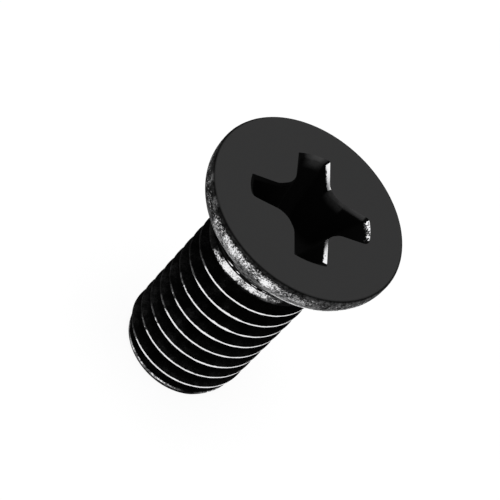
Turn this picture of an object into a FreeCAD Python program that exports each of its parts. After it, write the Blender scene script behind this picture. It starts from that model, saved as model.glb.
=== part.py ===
import FreeCAD, Part
import Sketcher
import os

# Countersunk machine screw with a cross recess, M5 x 0.8, standing on its blunt end.
# Origin: centre of the end face. +Z runs up the shank to the head. Sizes in millimetres.

doc = FreeCAD.newDocument("mudguard_screw")

SIZES = [
    ("total_length", 10.35, "head face to end face"),
    ("head_diameter", 8.14, "across the rim"),
    ("rim_height", 0.78, "head face to the corner of rim and seat"),
    ("head_edge_round", 0.15, "rounding between head face and rim"),
    ("rim_lower_round", 1.1, "rounding of that corner"),
    ("seat_half_angle", 45, "seat cone against the axis, in degrees"),
    ("neck_round", 0.3, "hollow rounding between seat and shank"),
    ("thread_diameter", 5, "over the crests"),
    ("thread_pitch", 0.8, "rise in one turn, right hand"),
    ("plain_neck", 0.7, "least length above the last full turn"),
    ("runout_turns", 0.75, "turns in which the groove fades out"),
    ("tip_inset", 0.25, "end face inside the crests, on the radius"),
    ("tip_taper", 20, "lead taper at the end against the axis, in degrees"),
    ("tip_edge_round", 0.06, "rounding round the end face"),
    ("recess_span", 5, "wing end to wing end at the head face"),
    ("wing_width", 1.3, "across a wing at the head face"),
    ("corner_span", 2.62, "corner ridge to opposite corner ridge at the head face"),
    ("corner_angle", 150, "between the two flats of a corner ridge, in degrees"),
    ("mouth_flare", 0.1, "widening of the mouth on each side"),
    ("mouth_flare_depth", 0.12, "depth of that widening"),
    ("recess_depth", 2.4, "head face to the wing floors"),
    ("wing_end_slope", 26.5, "wing ends against the axis, in degrees"),
    ("wing_side_draft", 5.75, "wing sides against the axis, in degrees"),
    ("corner_draft", 10, "corner ridges against the axis, in degrees"),
    ("floor_slope", 28, "conical floor against the head face, in degrees"),
    ("floor_ledge", 0.03, "flat left between corner ridges and conical floor"),
    ("cut_margin", 0.3, "how far a cutting profile stands out of the metal"),
]

# Sizes that follow from the ones above, as formulas in the same sheet. The thread form is
# a 60 degree triangle with a crest flat of pitch / 8 and a root flat of pitch / 6.
DERIVED = [
    ("triangle_height", "=sqrt(3) / 2 * thread_pitch"),
    ("thread_depth", "=17 / 24 * triangle_height"),
    ("root_half_width", "=thread_pitch / 12"),
    ("crest_radius", "=thread_diameter / 2"),
    ("crest_overlap", "=thread_pitch / 40"),
    ("groove_half_width", "=thread_pitch * 7 / 16 + crest_overlap * tan(30deg)"),
    ("seat_height", "=(head_diameter - thread_diameter) / 2 / tan(seat_half_angle * 1deg)"),
    ("seat_foot", "=total_length - rim_height - seat_height"),
    ("full_turns", "=floor((seat_foot - plain_neck) / thread_pitch)"),
    ("runout_height", "=runout_turns * thread_pitch"),
    ("runout_angle", "=atan((thread_depth + crest_overlap) / runout_height) / 1deg"),
    ("tip_radius", "=crest_radius - tip_inset"),
    ("taper_height", "=tip_inset / tan(tip_taper * 1deg)"),
    ("wall_depth", "=recess_depth - mouth_flare_depth"),
    ("mouth_half_span", "=recess_span / 2"),
    ("mouth_half_width", "=wing_width / 2"),
    ("mouth_corner", "=corner_span / 2"),
    ("throat_half_span", "=mouth_half_span - mouth_flare"),
    ("throat_half_width", "=mouth_half_width - mouth_flare"),
    ("throat_corner", "=mouth_corner - mouth_flare"),
    ("floor_half_span", "=throat_half_span - wall_depth * tan(wing_end_slope * 1deg)"),
    ("floor_half_width", "=throat_half_width - wall_depth * tan(wing_side_draft * 1deg)"),
    ("floor_corner", "=throat_corner - wall_depth * tan(corner_draft * 1deg)"),
    ("floor_cone_radius", "=floor_corner - floor_ledge"),
    ("floor_cone_depth", "=floor_cone_radius * tan(floor_slope * 1deg)"),
]

sheet = doc.addObject("Spreadsheet::Sheet", "dims")
for row, (alias, value, meaning) in enumerate(SIZES, start=1):
    sheet.set(f"A{row}", alias)
    sheet.set(f"B{row}", str(value))
    sheet.set(f"C{row}", meaning)
    sheet.setAlias(f"B{row}", alias)
for row, (alias, formula) in enumerate(DERIVED, start=len(SIZES) + 1):
    sheet.set(f"A{row}", alias)
    sheet.set(f"B{row}", formula)
    sheet.setAlias(f"B{row}", alias)
doc.recompute()

body = doc.addObject("PartDesign::Body", "screw")
body.Label = "screw"
body.Placement = FreeCAD.Placement(FreeCAD.Vector(0, 0, 0), FreeCAD.Rotation())


def new_sketch(name, plane, height="0"):
    """Sketch on one of the body's own origin planes, lifted to a height above the end face."""
    sketch = body.newObject("Sketcher::SketchObject", name)
    plane_object = [item for item in body.Origin.OriginFeatures if item.Role == plane][0]
    sketch.AttachmentSupport = [(plane_object, "")]
    sketch.MapMode = "FlatFace"
    if height != "0":
        sketch.setExpression("AttachmentOffset.Base.z", height)
    return sketch


def fix_point(sketch, line, end, x, y):
    """Pin one end of a line at two formulas; a plain 0 lies on the sketch's own axis."""
    for kind, axis, formula in (("DistanceX", -2, x), ("DistanceY", -1, y)):
        if formula == "0":
            sketch.addConstraint(Sketcher.Constraint("PointOnObject", line, end, axis))
            continue
        value = float(sketch.evalExpression(formula))
        index = sketch.addConstraint(Sketcher.Constraint(kind, -1, 1, line, end, value))
        name = f"{kind[-1].lower()}_{line}_{end}"
        sketch.renameConstraint(index, name)
        sketch.setExpression(f"Constraints.{name}", formula)


def closed_outline(sketch, corners):
    """Closed run of straight lines through corners, each a pair of formulas."""
    spots = [FreeCAD.Vector(float(sketch.evalExpression(x)), float(sketch.evalExpression(y)), 0)
             for x, y in corners]
    count = len(spots)
    for i in range(count):
        sketch.addGeometry(Part.LineSegment(spots[i], spots[(i + 1) % count]), False)
    for i in range(count):
        sketch.addConstraint(Sketcher.Constraint("Coincident", i, 2, (i + 1) % count, 1))
        fix_point(sketch, i, 1, *corners[i])


def volume():
    """Volume of the body as built so far."""
    doc.recompute()
    return body.Tip.Shape.Volume


def must_cut(feature, before):
    """Check that a subtractive feature has removed metal."""
    if not volume() < before:
        raise RuntimeError(feature.Name + " removes nothing")
    return body.Tip.Shape.Volume


# Turned blank: blunt end with its lead taper, shank, seat cone, rim and flat head face.
blank_sketch = new_sketch("blank_section", "XZ_Plane")
closed_outline(blank_sketch, [
    ("0", "0"),
    ("dims.tip_radius", "0"),
    ("dims.crest_radius", "dims.taper_height"),
    ("dims.crest_radius", "dims.seat_foot"),
    ("dims.head_diameter / 2", "dims.seat_foot + dims.seat_height"),
    ("dims.head_diameter / 2", "dims.total_length"),
    ("0", "dims.total_length"),
])
blank = body.newObject("PartDesign::Revolution", "blank")
blank.Profile = blank_sketch
blank.ReferenceAxis = (blank_sketch, ["V_Axis"])
blank.Angle = 360
doc.recompute()


def ring_edge(shape, radius, height):
    """Name of the circular edge nearest to a radius and a height."""
    def miss(edge):
        return abs(edge.Curve.Radius - radius) + abs(edge.Curve.Center.z - height)
    rings = [(miss(edge), f"Edge{i}") for i, edge in enumerate(shape.Edges, start=1)
             if isinstance(edge.Curve, Part.Circle)]
    return min(rings)[1]


def round_ring(name, radius, height, round_alias):
    """Fillet of one circular edge of the turned blank."""
    base = body.Tip
    edge_name = ring_edge(base.Shape, radius, height)
    fillet = body.newObject("PartDesign::Fillet", name)
    fillet.Base = (base, [edge_name])
    fillet.setExpression("Radius", "dims." + round_alias)
    doc.recompute()


head_radius = sheet.head_diameter / 2
round_ring("head_edge", head_radius, sheet.total_length, "head_edge_round")
round_ring("rim_lower_edge", head_radius, sheet.total_length - sheet.rim_height,
           "rim_lower_round")
round_ring("neck_hollow", sheet.crest_radius, sheet.seat_foot, "neck_round")
round_ring("tip_edge", sheet.tip_radius, 0, "tip_edge_round")


def groove_section(name, height):
    """Thread groove profile at a height: radial lips, 30 degree flanks and a flat root."""
    sketch = new_sketch(name, "XZ_Plane")
    root = "dims.crest_radius - dims.thread_depth"
    lip = "dims.crest_radius + dims.crest_overlap"
    outer = "dims.crest_radius + dims.cut_margin"
    closed_outline(sketch, [
        (root, f"{height} + dims.root_half_width"),
        (lip, f"{height} + dims.groove_half_width"),
        (outer, f"{height} + dims.groove_half_width"),
        (outer, f"{height} - dims.groove_half_width"),
        (lip, f"{height} - dims.groove_half_width"),
        (root, f"{height} - dims.root_half_width"),
    ])
    return sketch


def cut_helix(name, sketch, height, cone_angle="0"):
    """Right-hand helical groove that starts at its profile and climbs by a height."""
    before = volume()
    helix = body.newObject("PartDesign::SubtractiveHelix", name)
    helix.Profile = sketch
    helix.ReferenceAxis = (sketch, ["V_Axis"])
    helix.Mode = "pitch-height-angle"
    helix.HasBeenEdited = True
    helix.setExpression("Pitch", "dims.thread_pitch")
    helix.setExpression("Height", height)
    helix.setExpression("Angle", cone_angle)
    helix.LeftHanded = False
    helix.Reversed = False
    must_cut(helix, before)


# Thread: the groove starts one turn below the end face and keeps its full depth up to the
# neck, then fades out on a widening helix in less than a turn.
thread_start = groove_section("thread_section", "(-dims.thread_pitch)")
cut_helix("thread", thread_start, "(dims.full_turns + 1) * dims.thread_pitch")
runout_start = groove_section("runout_section", "dims.full_turns * dims.thread_pitch")
cut_helix("runout", runout_start, "dims.runout_height", "dims.runout_angle")


def cross_corners(half_span, half_width, corner):
    """Corners of a four-winged cross with a blunt ridge between each two wings."""
    ridge = f"{corner} / sqrt(2)"
    wing_root = f"({ridge} + ({ridge} - {half_width}) / tan(dims.corner_angle * 1deg / 2 - 45deg))"
    quarter = [(half_span, half_width), (wing_root, half_width), (ridge, ridge),
               (half_width, wing_root), (half_width, half_span)]
    corners = []
    for turn in range(4):
        for x, y in quarter:
            for _ in range(turn):
                x, y = f"-({y})", x
            corners.append((x, y))
    return corners


def cut_loft(name, sections):
    """Cut with straight walls from the first section to the last."""
    before = volume()
    loft = body.newObject("PartDesign::SubtractiveLoft", name)
    loft.Profile = sections[0]
    loft.Sections = sections[1:]
    loft.Ruled = True
    must_cut(loft, before)


def cross_section(name, height, size_prefix):
    """Cross outline of the recess at a height."""
    sketch = new_sketch(name, "XY_Plane", height)
    closed_outline(sketch, cross_corners(*[f"dims.{size_prefix}_{part}"
                                           for part in ("half_span", "half_width", "corner")]))
    return sketch


# Cross recess: a narrow flare at the mouth, drafted wings down to their floors, and a
# shallow cone in the middle of the floor.
cut_loft("recess_mouth", [
    cross_section("mouth_section", "dims.total_length", "mouth"),
    cross_section("throat_section", "dims.total_length - dims.mouth_flare_depth", "throat")])
cut_loft("recess_wings", [
    cross_section("wings_top_section", "dims.total_length - dims.mouth_flare_depth", "throat"),
    cross_section("wings_floor_section", "dims.total_length - dims.recess_depth", "floor")])

cone_sketch = new_sketch("floor_cone_section", "XZ_Plane")
closed_outline(cone_sketch, [
    ("0", "dims.total_length - dims.recess_depth"),
    ("dims.floor_cone_radius", "dims.total_length - dims.recess_depth"),
    ("0", "dims.total_length - dims.recess_depth - dims.floor_cone_depth"),
])
before_cone = volume()
cone = body.newObject("PartDesign::Groove", "recess_floor")
cone.Profile = cone_sketch
cone.ReferenceAxis = (cone_sketch, ["V_Axis"])
cone.Angle = 360
must_cut(cone, before_cone)


doc.recompute()
for item in doc.Objects:
    if "Invalid" in item.State or "Error" in item.State:
        raise RuntimeError(f"{item.Name} failed: {item.State}")
if body.Shape.isNull() or not body.Shape.isValid() or len(body.Shape.Solids) != 1:
    raise RuntimeError("screw is not one valid solid")

os.makedirs("parts", exist_ok=True)
body.Shape.exportStep(f"parts/{body.Label}.step")
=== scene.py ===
import math
from collections import namedtuple

import bpy
from mathutils import Matrix, Vector, noise


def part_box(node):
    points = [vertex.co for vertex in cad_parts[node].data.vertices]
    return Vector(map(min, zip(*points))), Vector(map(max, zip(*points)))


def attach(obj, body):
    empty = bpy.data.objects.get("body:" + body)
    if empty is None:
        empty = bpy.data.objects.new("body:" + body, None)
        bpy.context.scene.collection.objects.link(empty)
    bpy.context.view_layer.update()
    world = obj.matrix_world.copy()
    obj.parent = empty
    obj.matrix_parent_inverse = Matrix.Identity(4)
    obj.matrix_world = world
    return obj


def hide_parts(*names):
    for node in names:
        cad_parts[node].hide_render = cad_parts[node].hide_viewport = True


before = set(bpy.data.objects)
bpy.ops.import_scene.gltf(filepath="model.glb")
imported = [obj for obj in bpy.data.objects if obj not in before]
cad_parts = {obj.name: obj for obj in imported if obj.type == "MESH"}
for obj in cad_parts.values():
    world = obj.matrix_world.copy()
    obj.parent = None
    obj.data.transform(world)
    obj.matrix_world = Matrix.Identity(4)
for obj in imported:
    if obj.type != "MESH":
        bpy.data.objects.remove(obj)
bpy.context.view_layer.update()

# Countersunk screw, standing on its blunt end. Lengths are in millimetres until the mesh is
# made; the frame gives the overall sizes.

MM = 0.001
low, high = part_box("screw")
LENGTH = (high.z - low.z) / MM
HEAD_RADIUS = (high.x - low.x) / 2 / MM

# Head. Without its lower rounding, the rim would meet the 45 degree seat at the depth
# RIM_HEIGHT below the face; the rounding starts at LOWER_ROUND_START.
HEAD_EDGE_ROUND = 0.15
RIM_HEIGHT = 0.78
RIM_LOWER_ROUND = 1.1
NECK_ROUND = 0.3
LOWER_ROUND_START = RIM_HEIGHT - RIM_LOWER_ROUND * math.tan(math.pi / 8)

# Thread: 60 degree form, right hand. A groove centre passes height 0 on the +X side.
CREST = 2.5
PITCH = 0.8
ROOT = CREST - 17 / 24 * math.sqrt(3) / 2 * PITCH
ROOT_HALF_WIDTH = PITCH / 12
FLANK = math.tan(math.radians(30))
FULL_HEIGHT = 9 * PITCH
RUNOUT_HEIGHT = 0.66 * PITCH
SCRATCH_DEPTH = 0.02
TIP_RADIUS = CREST - 0.25
TIP_SLOPE = math.tan(math.radians(20))
TAPER_HEIGHT = (CREST - TIP_RADIUS) / TIP_SLOPE
TIP_EDGE_ROUND = 0.06
THREAD_TOP = 7.87

# Widths of the soft corners at a groove's root, at the crest and at the lead taper, and how
# far the rows of the thread swing up and down
ROOT_SOFT = 0.08
CREST_SOFT = 0.012
TAPER_SOFT = 0.02
ROW_SWING = 0.012

# Mouth of the cross recess, which is worn a little uneven. On its right and left, seen from
# the middle outwards, a wing has a reach, a half width at its end and its root, and a corner
# rounding. RIDGES are the distances of the ridges from the middle, and each part of a
# quarter's outline is divided into its PART_STEPS.
Wing = namedtuple("Wing", "right_reach left_reach right left right_root left_root "
                  "right_round left_round")
WINGS = (Wing(2.53, 2.52, 0.68, 0.58, 0.76, 0.78, 0.22, 0.10),
         Wing(2.57, 2.38, 0.75, 0.61, 0.79, 0.65, 0.06, 0.03),
         Wing(2.46, 2.40, 0.49, 0.53, 0.55, 0.66, 0.03, 0.18),
         Wing(2.44, 2.42, 0.54, 0.83, 0.60, 0.83, 0.05, 0.06))
RIDGES = (1.40, 1.18, 1.22, 1.36)
RIDGE_SLOPE = math.tan(math.radians(30))
WING_BOW = 0.08
ROOT_ROUND = 0.15
RIDGE_ROUND = 0.22
CORNER_SHARE = 0.45
CORNER_STEPS = (0.25, 0.5, 0.75, 1)
PART_STEPS = (12, 12, 10, 10, 12, 12)

# Flare at the mouth, with the throat below it, and the floor with its shallow cone
FLARE = 0.13
FLARE_DEPTH = 0.13
ROOT_FLARE = 0.06
FLOOR_WING = Wing(1.263, 1.263, 0.32, 0.32, 0.32, 0.32, 0.05, 0.05)
FLOOR_RIDGE = 0.808
RECESS_DEPTH = 2.4
FLOOR_CONE_RADIUS = 0.778
FLOOR_CONE_DEPTH = 0.414
THROAT_ROUND = 0.05
RAGGEDNESS = 0.02
RAGGED_CELLS = 7

# Rings of the recess and the head, as shares of the way out over the floor cone, up the
# walls, up the flare, out over the face, which starts FACE_LIP outside the mouth, down the
# rim and down the seat
FACE_LIP = 0.008
CONE_STEPS = (0.05, 0.35, 0.7, 1)
WALL_STEPS = (0.12, 0.26, 0.4, 0.54, 0.66, 0.76, 0.84, 0.9, 0.94, 0.97, 0.992)
FLARE_STEPS = (0, 0.25, 0.5, 0.75, 0.97)
FACE_STEPS = (0, 0.07, 0.22, 0.45, 0.7, 0.92, 1)
RIM_STEPS = (0.33, 0.67)
SEAT_STEPS = (0.2, 0.45, 0.75)

# View on the screw: degrees, and a point and a distance in millimetres. Bearings on the
# screw count from FRONT, the side towards the camera, in degrees round from +X.
FRONT = -119.7
AZIMUTH = -29.69
ELEVATION = 44.65
ROLL = 43.35
AIM = (-1.384, -1.358, 8.449)
VIEW_DISTANCE = 85.63
LENS = 167.5

# Stage in millimetres and watts. The floor glows less up to GLOW_START from its middle, so
# that the shadow shows there, and fully from GLOW_FULL on. The world is a backdrop at
# WORLD_SEEN and a light at WORLD_LIGHT.
FLOOR_SIZE = 800
NEAR_GLOW = 0.935
GLOW_START = 10
GLOW_FULL = 150
WORLD_SEEN = 1.0
WORLD_LIGHT = 0.05
LAMP_SIZE = 200
LAMP_DISTANCE = 250
LAMP_POWER = 0.69

# Colours
FILM = (0.002, 0.002, 0.002, 1)
DUST = (0.016, 0.016, 0.016, 1)
FACE_GREY = (0.0342, 0.0342, 0.0344, 1)
STEEL = (0.93, 0.93, 0.94, 1)
FLOOR_PALE = (0.8, 0.8, 0.8, 1)
FLOOR_SHADED = (0.1, 0.1, 0.1, 1)
WHITE = (1, 1, 1, 1)

# Finish of a vertex: share worn bare, share of bare grains, matte grey paint, rubbed and
# painted sheen
# Besides wear, the bare share, the grains and the sheen carry painted highlight, painted
# reflection and painted shade, laid out by bearing from the front
BLACK = (0, 0, 0, 0)
PAINT = (0, 0, 1, 0)
WORN = (1, 0, 0, 0)
DIM = (0, 0, 0.8, 0)

# Finish of the flared mouth from the middle of one wing's end to the middle of the next
# one's: end, side, two flats of the ridge between them, side, end
# Only the lips that shine are WORN, so these bare edges are partly a painted highlight. PAINT
# and DIM lips carry grey paint, painted brighter than the face, that fades down the wall as
# painted shade.
LIPS = ((WORN, PAINT, DIM, DIM, WORN, PAINT),
        (PAINT, BLACK, BLACK, BLACK, BLACK, BLACK),
        (BLACK, BLACK, BLACK, BLACK, BLACK, BLACK),
        (BLACK, WORN, BLACK, BLACK, BLACK, WORN))
# Lip paint: the depths over which it fades as painted shade, its painted light and its sheen
LIP_PAINT_DEPTH = 0.45
SIDE_PAINT_DEPTH = 0.2
LIP_PAINTED_LIGHT = 1.9
LIP_SHEEN = 0.008

# Layers of wear and painted highlight on the head's side: bare grains and sheen laid out by
# bearing, bright at the front and dark to the sides, as painted highlight and painted
# reflection. Each is a strength, then where it starts, where it stops and how soft its border
# is, by bearing in degrees or by depth below the head face. The paint ends over the upper
# edge, and the sheen lies between SHEEN_TOP and SHEEN_FOOT, each with its soft border.
PAINT_END = (0.006, 0.022)
PAINTED_HIGHLIGHT_GRAIN_SIDES = ((0.3, -54, 66, 16), (0.3, -31, 34, 4), (0.4, -20, -5, 6), (0.4, 7, 14, 5))
GRAIN_DEPTHS = ((0.7, 0.26, 0.6, 0.13), (0.3, 0.34, 0.5, 0.12))
PAINTED_SHEEN_SIDES = ((0.2, -42, 50, 10), (0.35, -30, -12, 4), (0.3, 11, 30, 4))
SHEEN_TOP = (0.6, 0.15)
SHEEN_FOOT = (1.55, 0.55)

# Spots of wear, painted highlight and painted sheen on the head's side: strength, bearings
# and depths, with their soft borders
PAINTED_HIGHLIGHT_GRAIN_SPOTS = ((0.7, (9, 9.8, 2.5), (0.45, 0.9, 0.15)),
               (0.5, (-34, -12, 6), (0.72, 1.2, 0.1)))
PAINTED_SHEEN_SPOTS = ((0.12, (-10, 11, 5), (0.55, 1.6, 0.15)),
               (0.3, (-11, 20, 4), (1.7, 2.5, 0.15)),
               (0.16, (37, 80, 9), (0.14, 0.8, 0.1)),
               (0.3, (-56, -54, 3), (0.1, 0.26, 0.08)),
               (0.35, (-41, -38, 3), (0.1, 0.26, 0.08)))

# Wear on the head's far side, from a bearing on, and a faint sheen all round the rim
HEAD_FAR = (80, 20)
FAR_GRAINS = 0.6
FAR_SHEEN = 0.3
RIM_SHEEN = 0.045
RIM_BAND = (0.1, 1.2, 0.06)

# Painted highlight: a bright line of grains along the head's lower rounding, rising from the
# front outwards: its bearings, and the depths of its top and foot before its drop is added
PAINTED_LINE_GRAINS = 1.5
LINE_SIDES = (18, 62, 9)
LINE_TOP = 0.11
LINE_FOOT = 0.27

# Wear and painted highlight by bearing on the last land under the head and on the neck, and
# sheen down the flanks with painted sheen streaks
LAND_HIGHLIGHT_GRAINS = ((0.6, -19, -4, 3), (0.35, 7, 26, 3))
LAND_FRONT_HIGHLIGHT_GRAINS = 0.85
LAND_SHEEN = 0.15
LAND_FAR = (85, 15)
NECK_PAINTED_HIGHLIGHTS = ((1, -19, -13, 1), (1, -9, -5, 1), (1, 9, 14, 1), (1, 19, 23, 1))
NECK_PAINTED_SHEEN = ((0.35, 25, 35, 5),)
FLANK_SHEEN = 0.005
PAINTED_FLANK_STREAKS = ((0.03, -15, -9, 5), (0.018, 3, 7, 4), (0.018, -66, -52, 7))

# Knocks that wore a crest wider: bearing, height, half length in degrees and strength
KNOCKS = ((13, 5.72, 7, 0.3), (15, 4.93, 7, 0.35), (9, 4.12, 8, 0.3), (-22, 3.3, 6, 0.15),
          (30, 2.5, 9, 0.2), (150, 5.2, 12, 0.3), (-120, 3.6, 14, 0.3))
KNOCK_REACH = 0.3

# Painted shade: a stretch of the crests left of the front, between two soft borders, where the
# bright bare crests are mostly painted black, and the painted sheen at its borders
PAINTED_SHADE_START = (-100, 60)
PAINTED_SHADE_STOP = (-50, 32)
PAINTED_SHADE_DRIFT = 35
PAINTED_SHADE_SHARE = 0.75
NEAR_BORDER = (-44, -26, 7)
FAR_BORDER = (-170, -125, 15)
PAINTED_BORDER_SHEEN = 0.3

# Painted highlight: a thin bright line on the lead taper, with its bearings, share worn bare
# and painted sheen
TIP_SIDES = (-38, 20, 8)
TIP_WORN = 0.15
TIP_PAINTED_HIGHLIGHT = 1.3

# Places of the thread's rows, with the share worn bare there: first as shares of the way
# from a groove's centre to its border, then as shares of the land above it
ROWS = ((0, 0), (0.17, 0), (0.3, 0), (0.5, 0), (0.72, 0), (0.91, 0), (0.975, 0.1),
        (1.012, 0.4), (1.05, 0.75))
LAND_ROWS = ((0.2, 0.95), (0.3, 1), (0.5, 1))


def mix(a, b, t):
    return a + (b - a) * t


def blend(a, b, t):
    return tuple(mix(p, q, t) for p, q in zip(a, b))


def sweep(degrees, steps):
    """Angles in radians from 0 to a number of degrees, in equal steps."""
    return [math.radians(degrees * i / steps) for i in range(steps + 1)]


def soft_min(a, b, width):
    """Smaller of two values, with the corner between them rounded over a width."""
    t = max(width - abs(a - b), 0) / width
    return min(a, b) - width * t * t / 4


def plateau(value, start, stop, soft):
    """1 between start and stop, fading to 0 over a soft border outside them."""
    over = min(max(start - value, value - stop, 0) / soft, 1)
    return (1 - over) ** 2 * (1 + 2 * over)


def above(value, start, soft):
    """1 from start on, fading to 0 over a soft border below it."""
    return plateau(value, start, math.inf, soft)


def below(value, stop, soft):
    """1 up to stop, fading to 0 over a soft border above it."""
    return plateau(value, -math.inf, stop, soft)


def layered(value, layers):
    """Sum of layers, each a strength and where it starts, where it stops and how softly."""
    return sum(strength * plateau(value, *span) for strength, *span in layers)


def spotted(side, depth, spots):
    """Sum of spots, each a strength and its limits by bearing and by depth."""
    return sum(strength * plateau(side, *sides) * plateau(depth, *depths)
               for strength, sides, depths in spots)


def bearing(angle):
    """Degrees round the screw from the front, from -180 to 180."""
    return (math.degrees(angle) - FRONT + 180) % 360 - 180


def swell(angle, height, scale, seed=0.0):
    """Smooth noise on the shank or head, about -1 to 1."""
    return noise.noise(Vector((math.cos(angle) * scale, math.sin(angle) * scale,
                               height * scale / CREST + seed)))


def wing_quarter(wing, ridge, following):
    """Outline corners from the middle of a wing's end to the middle of the next one's."""
    vertex = ridge / math.sqrt(2)
    return [Vector(c) for c in (
        ((wing.right_reach + wing.left_reach) / 2, (wing.left - wing.right) / 2),
        (wing.left_reach, wing.left),
        (vertex + (vertex - wing.left_root) / RIDGE_SLOPE, wing.left_root),
        (vertex, vertex),
        (following.right_root, vertex + (vertex - following.right_root) / RIDGE_SLOPE),
        (following.right, following.right_reach),
        ((following.right - following.left) / 2,
         (following.right_reach + following.left_reach) / 2))]


def rounded_run(corners, rounds):
    """Points along straight lines, each inner corner rounded; also the part and how far
    along it each is. A corner's place is halfway between two parts."""
    points, places = [corners[0]], [(0, 0)]
    for k, steps in enumerate(PART_STEPS):
        start, end = corners[k], corners[k + 1]
        last = k + 1 == len(PART_STEPS)
        cut = 0 if last else min(rounds[k], CORNER_SHARE * (end - start).length,
                                 CORNER_SHARE * (corners[k + 2] - end).length)
        stop = end + (start - end).normalized() * cut
        first = points[-1]
        points += [first.lerp(stop, i / steps) for i in range(1, steps + 1)]
        places += [(k, i / steps) for i in range(1, steps + 1)]
        if not last:
            leave = end + (corners[k + 2] - end).normalized() * cut
            for t in CORNER_STEPS:
                points.append(stop * (1 - t) ** 2 + end * 2 * t * (1 - t) + leave * t * t)
                places.append((k + 0.5, 0))
    return points, places


def cross_outline(wings, ridges, bow):
    """Closed outline of the cross from the middle of the +X wing's end, and its parts."""
    outline, parts = [], []
    for turn in range(4):
        wing, following = wings[turn], wings[(turn + 1) % 4]
        rounds = (wing.left_round, ROOT_ROUND, RIDGE_ROUND, ROOT_ROUND, following.right_round)
        points, places = rounded_run(wing_quarter(wing, ridges[turn], following), rounds)
        for p, (place, along) in zip(points[:-1], places):
            if place < 1:
                away = (p.y - points[0].y) / (wing.left - points[0].y)
                p = p + Vector((bow * max(1 - away * away, 0), 0))
            elif place > 4:
                away = (p.x - points[-1].x) / (following.right - points[-1].x)
                p = p + Vector((0, bow * max(1 - away * away, 0)))
            outline.append(Matrix.Rotation(turn * math.pi / 2, 2) @ p)
            parts.append((turn, place, along))
    return outline, parts


def throat_wing(wing):
    """Wing of the same form as one at the mouth, below the flare."""
    return Wing(wing.right_reach - FLARE, wing.left_reach - FLARE, wing.right - FLARE,
                wing.left - FLARE, wing.right_root - ROOT_FLARE, wing.left_root - ROOT_FLARE,
                THROAT_ROUND, THROAT_ROUND)


MOUTH, PARTS = cross_outline(WINGS, RIDGES, WING_BOW)
THROAT = cross_outline([throat_wing(w) for w in WINGS], [r - ROOT_FLARE for r in RIDGES],
                       WING_BOW)[0]
FLOOR = cross_outline([FLOOR_WING] * 4, [FLOOR_RIDGE] * 4, 0)[0]
START = math.atan2(MOUTH[0].y, MOUTH[0].x)
ANGLES = [START + (math.atan2(p.y, p.x) - START) % (2 * math.pi) for p in MOUTH]


class Surface:
    """Closed surface made of rings with one vertex, and its finish, for each column."""

    def __init__(self):
        self.vertices, self.finishes, self.faces = [], [], []

    def add(self, point, finish):
        self.vertices.append([c * MM for c in point])
        self.finishes.append(finish)
        return len(self.vertices) - 1

    def add_ring(self, outline, height, finish):
        """Ring from an outline; finish is one for all or one for each column."""
        finishes = finish if isinstance(finish, list) else [finish] * len(outline)
        return [self.add((p[0], p[1], height), f) for p, f in zip(outline, finishes)]

    def face(self, *corners):
        kept = [c for k, c in enumerate(corners) if c != corners[k - 1]]
        if len(kept) > 2:
            self.faces.append(kept)

    def join(self, upper, lower):
        """Faces between two rings, seen from outside with upper above lower."""
        for i in range(len(upper)):
            k = (i + 1) % len(upper)
            self.face(upper[i], lower[i], lower[k], upper[k])

    def cap(self, ring, centre, faces_up):
        """Triangles from a ring to a middle point, facing up or down."""
        middle = self.add(centre, BLACK)
        for i in range(len(ring)):
            k = (i + 1) % len(ring)
            first, second = (i, k) if faces_up else (k, i)
            self.face(ring[first], ring[second], middle)


def circle(radius):
    return [(radius * math.cos(a), radius * math.sin(a)) for a in ANGLES]


def blend_outline(a, b, t):
    return [blend(p, q, t) for p, q in zip(a, b)]


def ragged(outline, amount):
    """Outline moved in and out by a little noise."""
    moved = []
    for x, y in outline:
        nick = noise.noise(Vector((x * RAGGED_CELLS, y * RAGGED_CELLS, 3.7)))
        share = 1 + amount * nick / math.hypot(x, y)
        moved.append((x * share, y * share))
    return moved


def lip_kind(turn, place):
    """Kind of finish of a lip: a root corner takes its wing side's, other corners are black
    where their neighbours differ."""
    before, after = LIPS[turn][math.floor(place)], LIPS[turn][math.ceil(place)]
    if place in (1.5, 3.5):
        return before if place == 1.5 else after
    return before if before == after else BLACK


def lip_paint_and_painted_light(paint, turn, place, along, depth):
    """Paint that ran over the edge, painted brighter than on the face as painted light, and
    fading out down the wall as painted shade."""
    share = 1 - depth / (SIDE_PAINT_DEPTH if (turn, place) == (0, 1) else LIP_PAINT_DEPTH)
    if turn == 1:
        share *= 1 - 1.4 * along
    elif place == 5:
        share *= 0.4 + 0.6 * above(along, 0.5, 0.4)
    return blend(BLACK, (0, 0, LIP_PAINTED_LIGHT * paint, LIP_SHEEN), max(share, 0))


def worn_lip_and_painted_highlight(turn, place, along, depth):
    """Edge worn bare by the driver: ragged and grainy at a wing's end, clean elsewhere. Only
    the lips that shine are worn, so this bare edge is partly a painted highlight.
    """
    nick = noise.noise(Vector((along * 9, turn * 3.1 + place, depth * 15)))
    bare = 1.2 - 0.6 * depth / FLARE_DEPTH
    if place in (0, 5):
        up = along if place == 0 else along - 1
        grains_and_painted_highlight = (0.45 + 0.25 * up) * below(depth, 0.1, 0.1)
        return (bare - 0.3 + 0.2 * up + 0.8 * nick, grains_and_painted_highlight, 0, 0)
    return (bare + 0.3 * nick, 0, 0, 0) if depth < FLARE_DEPTH + 0.05 else BLACK


def lip_finish(depth):
    """Finish of the recess wall at a depth, column by column, with the painted highlight on
    the worn lips and the painted light and shade of the lip paint.
    """
    finishes = []
    for turn, place, along in PARTS:
        kind = lip_kind(turn, place)
        if kind in (PAINT, DIM):
            finishes.append(lip_paint_and_painted_light(kind[2], turn, place, along, depth))
        elif kind == WORN:
            finishes.append(worn_lip_and_painted_highlight(turn, place, along, depth))
        else:
            finishes.append(BLACK)
    return finishes


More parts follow.
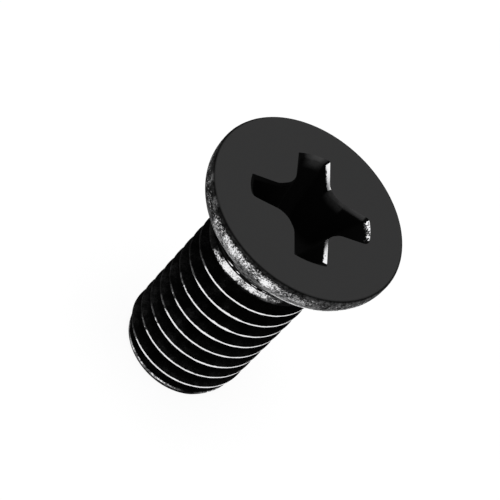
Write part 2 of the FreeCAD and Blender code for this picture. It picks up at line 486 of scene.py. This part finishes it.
def add_recess(surface):
    """Rings from the middle of the recess floor up the walls to the mouth."""
    floor_z = LENGTH - RECESS_DEPTH
    rings = []
    for t in CONE_STEPS:
        cone_z = floor_z - FLOOR_CONE_DEPTH * (1 - t)
        rings.append(surface.add_ring(circle(FLOOR_CONE_RADIUS * t), cone_z, BLACK))
    rings.append(surface.add_ring(FLOOR, floor_z, BLACK))
    for t in WALL_STEPS:
        depth = mix(RECESS_DEPTH, FLARE_DEPTH, t)
        wall = blend_outline(FLOOR, THROAT, t)
        rings.append(surface.add_ring(wall, LENGTH - depth, lip_finish(depth)))
    for t in FLARE_STEPS:
        depth = FLARE_DEPTH * (1 - t)
        edge = ragged(blend_outline(THROAT, MOUTH, t), RAGGEDNESS * (1 - t))
        rings.append(surface.add_ring(edge, LENGTH - depth, lip_finish(depth)))
    rings.append(surface.add_ring(MOUTH, LENGTH, PAINT))
    return rings


def add_face(surface):
    """Flat painted head face from the mouth out to the edge rounding."""
    edge = circle(HEAD_RADIUS - HEAD_EDGE_ROUND)
    near = [blend(p, q, FACE_LIP / math.dist(p, q)) for p, q in zip(MOUTH, edge)]
    return [surface.add_ring(blend_outline(near, edge, t), LENGTH, PAINT) for t in FACE_STEPS]


def painted_limb_highlight(angle, depth):
    """Painted highlight: bright specks of a line on the lower rounding, which rises from the
    front outwards.
    """
    side = bearing(angle)
    drop = RIM_LOWER_ROUND * math.sin(math.atan(math.cos(math.radians(side))))
    line = plateau(depth, LINE_TOP + drop, LINE_FOOT + drop, 0.05)
    patch = 0.95 + 0.4 * swell(angle, 4 * depth, 7)
    return PAINTED_LINE_GRAINS * plateau(side, *LINE_SIDES) * line * patch


def head_wear_and_painted_highlight(depth):
    """Finish of the head's side at a depth: a black edge, then a band worn to bare steel
    specks, widest at the front, then a dull sheen down to the neck. Band and sheen are partly
    wear and partly painted highlight and painted reflection, bright at the front and dark to
    the sides."""
    finishes = []
    for angle in ANGLES:
        side = bearing(angle)
        patch = 0.5 + swell(angle, depth, 3)
        far = above(abs(side), *HEAD_FAR) * patch
        grains_and_painted_highlight = (layered(side, PAINTED_HIGHLIGHT_GRAIN_SIDES) + FAR_GRAINS * far) * layered(depth, GRAIN_DEPTHS)
        grains_and_painted_highlight += spotted(side, depth, PAINTED_HIGHLIGHT_GRAIN_SPOTS) + painted_limb_highlight(angle, depth)
        sheen = (layered(side, PAINTED_SHEEN_SIDES) + FAR_SHEEN * far) * above(depth, *SHEEN_TOP)
        sheen = sheen * below(depth, *SHEEN_FOOT) + spotted(side, depth, PAINTED_SHEEN_SPOTS)
        sheen += RIM_SHEEN * plateau(depth, *RIM_BAND) * (0.6 + patch)
        finishes.append((0, grains_and_painted_highlight, below(depth, *PAINT_END), sheen))
    return finishes


def add_head_side(surface):
    """Edge rounding, rim, large lower rounding, seat cone and neck hollow."""
    lower_z = LENGTH - LOWER_ROUND_START
    seat_foot = LENGTH - RIM_HEIGHT - (HEAD_RADIUS - CREST)
    hollow_z = seat_foot - NECK_ROUND * math.tan(math.pi / 8)
    profile = [(HEAD_RADIUS - HEAD_EDGE_ROUND * (1 - math.sin(a)),
                LENGTH - HEAD_EDGE_ROUND * (1 - math.cos(a))) for a in sweep(90, 7)]
    profile += [(HEAD_RADIUS, mix(LENGTH - HEAD_EDGE_ROUND, lower_z, t)) for t in RIM_STEPS]
    profile += [(HEAD_RADIUS - RIM_LOWER_ROUND * (1 - math.cos(a)),
                 lower_z - RIM_LOWER_ROUND * math.sin(a)) for a in sweep(45, 14)]
    hollow = [(CREST + NECK_ROUND * (1 - math.cos(a)), hollow_z + NECK_ROUND * math.sin(a))
              for a in reversed(sweep(45, 6))]
    profile += [blend(profile[-1], hollow[0], t) for t in SEAT_STEPS] + hollow
    return [surface.add_ring(circle(r), z, head_wear_and_painted_highlight(LENGTH - z)) for r, z in profile]


def runout(centre):
    """Depth and half root width of a groove, which becomes a mere scratch under the head."""
    fade = min(max(centre - FULL_HEIGHT, 0) / RUNOUT_HEIGHT, 1)
    return max((CREST - ROOT) * (1 - fade), SCRATCH_DEPTH), ROOT_HALF_WIDTH * (1 - 0.6 * fade)


def groove_border(centre, side):
    """Height from a groove's centre to its upper (1) or lower (-1) border."""
    depth, root_half = runout(centre)
    taper = TIP_RADIUS + centre * TIP_SLOPE - ROOT
    return min(root_half + depth * FLANK,
               (ROOT_HALF_WIDTH + max(taper, 0) * FLANK) / (1 - side * TIP_SLOPE * FLANK))


def thread_radius(centre, height):
    """Radius of the shank at a height, with the groove whose centre is nearest."""
    depth, root_half = runout(centre)
    flank = (abs(height - centre) - root_half) / FLANK
    groove = CREST - depth - soft_min(-flank, 0, min(ROOT_SOFT, depth))
    taper = TIP_RADIUS + height * TIP_SLOPE
    return soft_min(soft_min(groove, CREST, CREST_SOFT), taper, TAPER_SOFT)


def crest_wear_and_painted_shade(angle, height, share, worn):
    """Share worn bare and sheen of a crest. It is worn wider at the knocks, and painted shade
    darkens it in a stretch left of the front, whose far border drifts, with painted sheen at
    its borders."""
    side = bearing(angle)
    knock = sum(strength * plateau(side, at - length, at + length, 4)
                for at, z, length, strength in KNOCKS if abs(height - z) < KNOCK_REACH)
    drift = side + PAINTED_SHADE_DRIFT * swell(angle, height, 2, 4.1)
    # Painted shade: the bright crests are darkened in this stretch
    painted_shade = below(side, *PAINTED_SHADE_STOP) * above(drift, *PAINTED_SHADE_START)
    worn = (worn + knock * plateau(share, 0.93, 1.2, 0.1)) * (1 - PAINTED_SHADE_SHARE * painted_shade)
    # Painted sheen at the borders of the painted shade
    border = plateau(side, *NEAR_BORDER) + 0.6 * plateau(drift, *FAR_BORDER)
    return worn, PAINTED_BORDER_SHEEN * border * above(share, 1.04, 0.05)


def tip_wear_and_painted_highlight(angle, height, share):
    """Share worn bare and sheen of the lead taper, whose crest is one thin bright line, a
    painted highlight.
    """
    patch = max(plateau(bearing(angle), *TIP_SIDES), 0.5 + swell(angle, height, 2))
    return TIP_WORN * patch, TIP_PAINTED_HIGHLIGHT * patch * plateau(share, 0.98, 1.06, 0.04)


def last_land_wear_and_painted_highlight(angle, height, edge):
    """Share of bare specks and sheen of the land between the last groove and the run-out, laid
    out by bearing as wear and painted highlight. Its lower edge lies at the height edge."""
    side = bearing(angle)
    rise = height - edge
    far = max(0.5 * swell(angle, 7, 2, 1.3), 0) * above(abs(side), *LAND_FAR)
    inside = above(height, FULL_HEIGHT + 0.05, 0.04) * above(rise, 0.12 + 0.0013 * side, 0.05)
    grains_and_painted_highlight = LAND_FRONT_HIGHLIGHT_GRAINS * plateau(side, -38 + 25 * rise, 41 - 20 * rise, 5)
    grains_and_painted_highlight += layered(side, LAND_HIGHLIGHT_GRAINS) + far
    return grains_and_painted_highlight * inside, LAND_SHEEN * (plateau(side, -33, 38, 6) + far) * inside


def thread_finish(angle, height, share, worn, edge, neck):
    """Finish of the thread at a share of the way from groove to border. The land's lower
    edge lies at the height edge, and neck is true above the last groove. The spots on the neck
    are painted highlight, and the streaks down the flanks painted sheen."""
    side = bearing(angle)
    land = above(share, 0.97, 0.06)
    # Sheen down the flanks, with painted sheen streaks at some bearings
    sheen_and_painted_streaks = FLANK_SHEEN + layered(side, PAINTED_FLANK_STREAKS)
    sheen_and_painted_streaks *= max(0.8 + 1.5 * swell(angle, height, 4), 0)
    worn, sheen = crest_wear_and_painted_shade(angle, height, share, worn)
    if height < TAPER_HEIGHT:
        worn, rubbed_and_painted_sheen = tip_wear_and_painted_highlight(angle, height, share)
        return (worn, 0, 0, sheen * land + sheen_and_painted_streaks + rubbed_and_painted_sheen)
    if height < FULL_HEIGHT:
        return (worn * (1 - above(height, FULL_HEIGHT, 0.1)), 0, 0, sheen * land + sheen_and_painted_streaks)
    sheen = layered(side, NECK_PAINTED_SHEEN) * above(height, FULL_HEIGHT + 0.25, 0.1)
    if neck:
        return (land * layered(side, NECK_PAINTED_HIGHLIGHTS), 0, 0, sheen * land + sheen_and_painted_streaks)
    grains_and_painted_highlight, rubbed_and_painted_sheen = last_land_wear_and_painted_highlight(angle, height, edge)
    return (0, grains_and_painted_highlight * land, 0, (rubbed_and_painted_sheen + sheen) * land + sheen_and_painted_streaks)


def add_thread(surface, top, bottom):
    """Rows that climb with the thread, cut off at a top and a bottom ring."""
    turns = range(-2, math.ceil(THREAD_TOP / PITCH) + 1)
    grid = []
    for i, angle in enumerate(ANGLES):
        rise = PITCH * angle / (2 * math.pi)
        column = []
        for turn in turns:
            centre = PITCH * turn + rise
            upper, lower = groove_border(centre, 1), groove_border(centre, -1)
            next_lower = groove_border(centre + PITCH, -1)
            rows = [(-lower * share, share, worn) for share, worn in reversed(ROWS[1:])]
            rows += [(upper * share, share, worn) for share, worn in ROWS]
            land = PITCH - next_lower - upper
            rows += [(upper + share * land, 1 + share, worn) for share, worn in LAND_ROWS]
            for offset, share, worn in rows:
                swing = ROW_SWING * min(share, 1) * swell(angle, centre, 9, offset > 0)
                z = centre + offset + swing
                if z <= TIP_EDGE_ROUND:
                    column.append(bottom[i])
                elif z >= THREAD_TOP:
                    column.append(top[i])
                else:
                    r = thread_radius(centre, centre + offset)
                    edge = centre + (upper if offset > 0 else upper - PITCH)
                    neck = offset > 0 and centre > FULL_HEIGHT + PITCH / 4
                    finish = thread_finish(angle, z, share, worn, edge, neck)
                    column.append(surface.add((r * math.cos(angle), r * math.sin(angle), z),
                                              finish))
        grid.append(column)
    grid.append(grid[0][2 * len(ROWS) - 1 + len(LAND_ROWS):])
    for left, right in zip(grid, grid[1:]):
        for j in range(len(right) - 1):
            surface.face(left[j], right[j], right[j + 1], left[j + 1])


def add_end(surface):
    """Small edge rounding at the blunt end, top ring first, closed by a cap."""
    rings = []
    for a in sweep(90, 4):
        inset = TIP_EDGE_ROUND * (1 - math.cos(a))
        radii = [thread_radius(PITCH * round((TIP_EDGE_ROUND - rise) / PITCH) + rise,
                               TIP_EDGE_ROUND) - inset
                 for rise in (PITCH * angle / (2 * math.pi) for angle in ANGLES)]
        outline = [(r * math.cos(t), r * math.sin(t)) for r, t in zip(radii, ANGLES)]
        rings.append(surface.add_ring(outline, TIP_EDGE_ROUND * (1 - math.sin(a)), BLACK))
    surface.cap(rings[-1], (0, 0, 0), faces_up=False)
    return rings


def build_screw():
    """The whole screw as one closed mesh, with its finish as a vertex colour."""
    surface = Surface()
    upper = add_recess(surface) + add_face(surface) + add_head_side(surface)
    upper.append(surface.add_ring(circle(CREST), THREAD_TOP, BLACK))
    surface.cap(upper[0], (0, 0, LENGTH - RECESS_DEPTH - FLOOR_CONE_DEPTH), faces_up=True)
    end = add_end(surface)
    for rings in (upper, end):
        for over, under in zip(rings, rings[1:]):
            surface.join(over, under)
    add_thread(surface, upper[-1], end[0])

    mesh = bpy.data.meshes.new("screw_surface")
    mesh.from_pydata(surface.vertices, [], surface.faces)
    finish = mesh.color_attributes.new("finish", "FLOAT_COLOR", "POINT")
    for datum, values in zip(finish.data, surface.finishes):
        datum.color = values
    mesh.validate()
    mesh.shade_smooth()
    piece = bpy.data.objects.new("screw_metal", mesh)
    bpy.context.collection.objects.link(piece)
    return piece


class Nodes:
    """Short way to write a node material."""

    def __init__(self, name):
        self.material = bpy.data.materials.new(name)
        self.material.use_nodes = True
        self.tree = self.material.node_tree
        self.tree.nodes.clear()

    def node(self, kind, out=0, inputs=None, **settings):
        """New node with its settings and inputs; gives back one of its outputs."""
        made = self.tree.nodes.new(kind)
        for key, value in settings.items():
            setattr(made, key, value)
        for key, value in (inputs or {}).items():
            if isinstance(value, bpy.types.NodeSocket):
                self.tree.links.new(value, made.inputs[key])
            else:
                made.inputs[key].default_value = value
        return made.outputs[out]

    def math(self, operation, *values):
        return self.node("ShaderNodeMath", operation=operation, inputs=dict(enumerate(values)))

    def ramp(self, value, start, stop):
        """0 below start, 1 above stop, smooth between."""
        return self.node("ShaderNodeMapRange", interpolation_type="SMOOTHSTEP",
                         inputs={"Value": value, "From Min": start, "From Max": stop})

    def noise(self, position, scale, rough=0.5):
        """Noise with a scale in cells per millimetre."""
        return self.node("ShaderNodeTexNoise", inputs={
            "Vector": position, "Scale": scale / MM, "Detail": 2, "Roughness": rough})

    def total(self, *terms):
        """Sum of terms, each a value or a pair of a value and its factor."""
        result = 0.0
        for term in terms:
            value, factor = term if isinstance(term, tuple) else (term, 1.0)
            result = self.math("MULTIPLY_ADD", value, factor, result)
        return result

    def either(self, *masks):
        result = masks[0]
        for mask in masks[1:]:
            result = self.math("MAXIMUM", result, mask)
        return result

    def colour(self, mask, first, second):
        return self.node("ShaderNodeMix", 2, data_type="RGBA", clamp_factor=False,
                         inputs={0: mask, 6: first, 7: second})

    def finish(self, shader):
        output = self.tree.nodes.new("ShaderNodeOutputMaterial")
        self.tree.links.new(shader, output.inputs["Surface"])
        return self.material


def screw_finish():
    """Black finish: matte grey on the face, worn through to bright steel on the edges. Where
    the steel shows and shines is partly wear and partly painted highlight and painted shade.
    """
    nodes = Nodes("blackened_steel_with_painted_light")
    place = nodes.node("ShaderNodeTexCoord", "Object")
    kinds = nodes.node("ShaderNodeAttribute", "Color", attribute_name="finish")
    worn, grains_and_painted_highlight, paint = (nodes.node("ShaderNodeSeparateColor", k, inputs={0: kinds})
                           for k in range(3))
    rubbed_and_painted_sheen = nodes.node("ShaderNodeAttribute", "Alpha", attribute_name="finish")

    fine = nodes.noise(place, 15, 0.75)
    middle = nodes.noise(place, 5)
    patches = nodes.noise(place, 1.7)

    # Bare steel and bright specks: partly wear, partly painted highlight and painted shade
    bare = nodes.ramp(nodes.total(worn, (fine, 0.8), (middle, 0.6), -0.7), 0.58, 0.74)
    speckle = nodes.ramp(nodes.total((grains_and_painted_highlight, 0.24), fine, (patches, 0.25), -0.2), 0.5, 0.74)
    speckle = nodes.math("MULTIPLY", speckle, nodes.ramp(grains_and_painted_highlight, 0.02, 0.15))
    clumps = nodes.ramp(nodes.total(middle, (grains_and_painted_highlight, 0.2)), 0.3, 0.65)
    speckle = nodes.math("MULTIPLY", speckle, clumps)
    # Sheen: partly rubbed steel, partly painted sheen and painted reflection
    sheen = nodes.math("MULTIPLY", rubbed_and_painted_sheen, nodes.ramp(nodes.total(fine, middle), 0.65, 1.4))
    metal_and_painted_highlight = nodes.either(bare, speckle, sheen)

    # Dust greys the black only where there is sheen, so it follows the painted sheen too
    dust_and_sheen = nodes.ramp(nodes.total(fine, (middle, 0.5), (patches, 0.5)), 0.85, 1.35)
    dust_and_sheen = nodes.math("MULTIPLY", dust_and_sheen, nodes.ramp(rubbed_and_painted_sheen, 0, 0.003))
    black = nodes.colour(dust_and_sheen, FILM, DUST)
    colour = nodes.colour(paint, black, FACE_GREY)
    colour = nodes.colour(metal_and_painted_highlight, colour, STEEL)
    roughness = nodes.math("MULTIPLY_ADD", metal_and_painted_highlight, -0.5, 0.8)
    shader = nodes.node("ShaderNodeBsdfPrincipled", inputs={
        "Base Color": colour, "Metallic": metal_and_painted_highlight, "Roughness": roughness,
        "Specular IOR Level": 0.015})
    return nodes.finish(shader)


def floor_finish():
    """Pale diffuse floor that the camera and metal see as white, under a faint shadow."""
    nodes = Nodes("pale_floor")
    rays = ("Is Camera Ray", "Is Glossy Ray", "Is Transmission Ray")
    seen = nodes.either(*(nodes.node("ShaderNodeLightPath", ray) for ray in rays))
    pale = nodes.node("ShaderNodeBsdfDiffuse", inputs={"Color": FLOOR_PALE})
    place = nodes.node("ShaderNodeTexCoord", "Object")
    away = nodes.node("ShaderNodeVectorMath", "Value", operation="LENGTH", inputs={0: place})
    glow = nodes.node("ShaderNodeMapRange", interpolation_type="SMOOTHSTEP", inputs={
        "Value": away, "From Min": GLOW_START * MM, "From Max": GLOW_FULL * MM,
        "To Min": NEAR_GLOW, "To Max": 1})
    white = nodes.node("ShaderNodeAddShader", inputs={
        0: nodes.node("ShaderNodeEmission", inputs={"Color": WHITE, "Strength": glow}),
        1: nodes.node("ShaderNodeBsdfDiffuse", inputs={"Color": FLOOR_SHADED})})
    return nodes.finish(nodes.node("ShaderNodeMixShader", inputs={0: seen, 1: pale, 2: white}))


def build_floor():
    """Square floor of the stage, level with the screw's end."""
    reach = FLOOR_SIZE / 2 * MM
    mesh = bpy.data.meshes.new("floor")
    mesh.from_pydata([(-reach, -reach, 0), (reach, -reach, 0), (reach, reach, 0),
                      (-reach, reach, 0)], [], [(0, 1, 2, 3)])
    mesh.materials.append(floor_finish())
    floor = bpy.data.objects.new("floor", mesh)
    bpy.context.collection.objects.link(floor)


def build_world():
    """Plain world: white to the camera and to metal, dim as a light on the object."""
    world = bpy.data.worlds.new("studio")
    bpy.context.scene.world = world
    world.use_nodes = True
    nodes, links = world.node_tree.nodes, world.node_tree.links
    path = nodes.new("ShaderNodeLightPath")
    strength = nodes.new("ShaderNodeMapRange")
    strength.inputs["To Min"].default_value = WORLD_SEEN
    strength.inputs["To Max"].default_value = WORLD_LIGHT
    links.new(path.outputs["Is Diffuse Ray"], strength.inputs["Value"])
    links.new(strength.outputs[0], nodes["Background"].inputs["Strength"])
    nodes["Background"].inputs["Color"].default_value = WHITE


def build_lamp():
    """One broad square softbox overhead, which shines straight down."""
    data = bpy.data.lights.new("overhead_softbox", "AREA")
    data.size = LAMP_SIZE * MM
    data.energy = LAMP_POWER
    lamp = bpy.data.objects.new("overhead_softbox", data)
    lamp.location.z = (LENGTH + LAMP_DISTANCE) * MM
    bpy.context.collection.objects.link(lamp)


def place_camera():
    """Camera above and to one side of the screw, rolled so that the screw leans in the view."""
    azimuth, elevation, roll = (math.radians(a) for a in (AZIMUTH, ELEVATION, ROLL))
    forward = Vector((-math.sin(azimuth) * math.cos(elevation),
                      math.cos(azimuth) * math.cos(elevation), -math.sin(elevation)))
    data = bpy.data.cameras.new("camera")
    data.lens, data.sensor_width = LENS, 36
    data.clip_start, data.clip_end = 0.005, 2
    camera = bpy.data.objects.new("camera", data)
    camera.location = (Vector(AIM) - forward * VIEW_DISTANCE) * MM
    level = forward.to_track_quat("-Z", "Y").to_matrix()
    camera.rotation_euler = (level @ Matrix.Rotation(roll, 3, "Z")).to_euler()
    bpy.context.collection.objects.link(camera)
    bpy.context.scene.camera = camera


bpy.context.scene.view_settings.view_transform = "Standard"
screw = build_screw()
screw.data.materials.append(screw_finish())
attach(screw, "root")
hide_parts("screw")
build_floor()
build_world()
build_lamp()
place_camera()
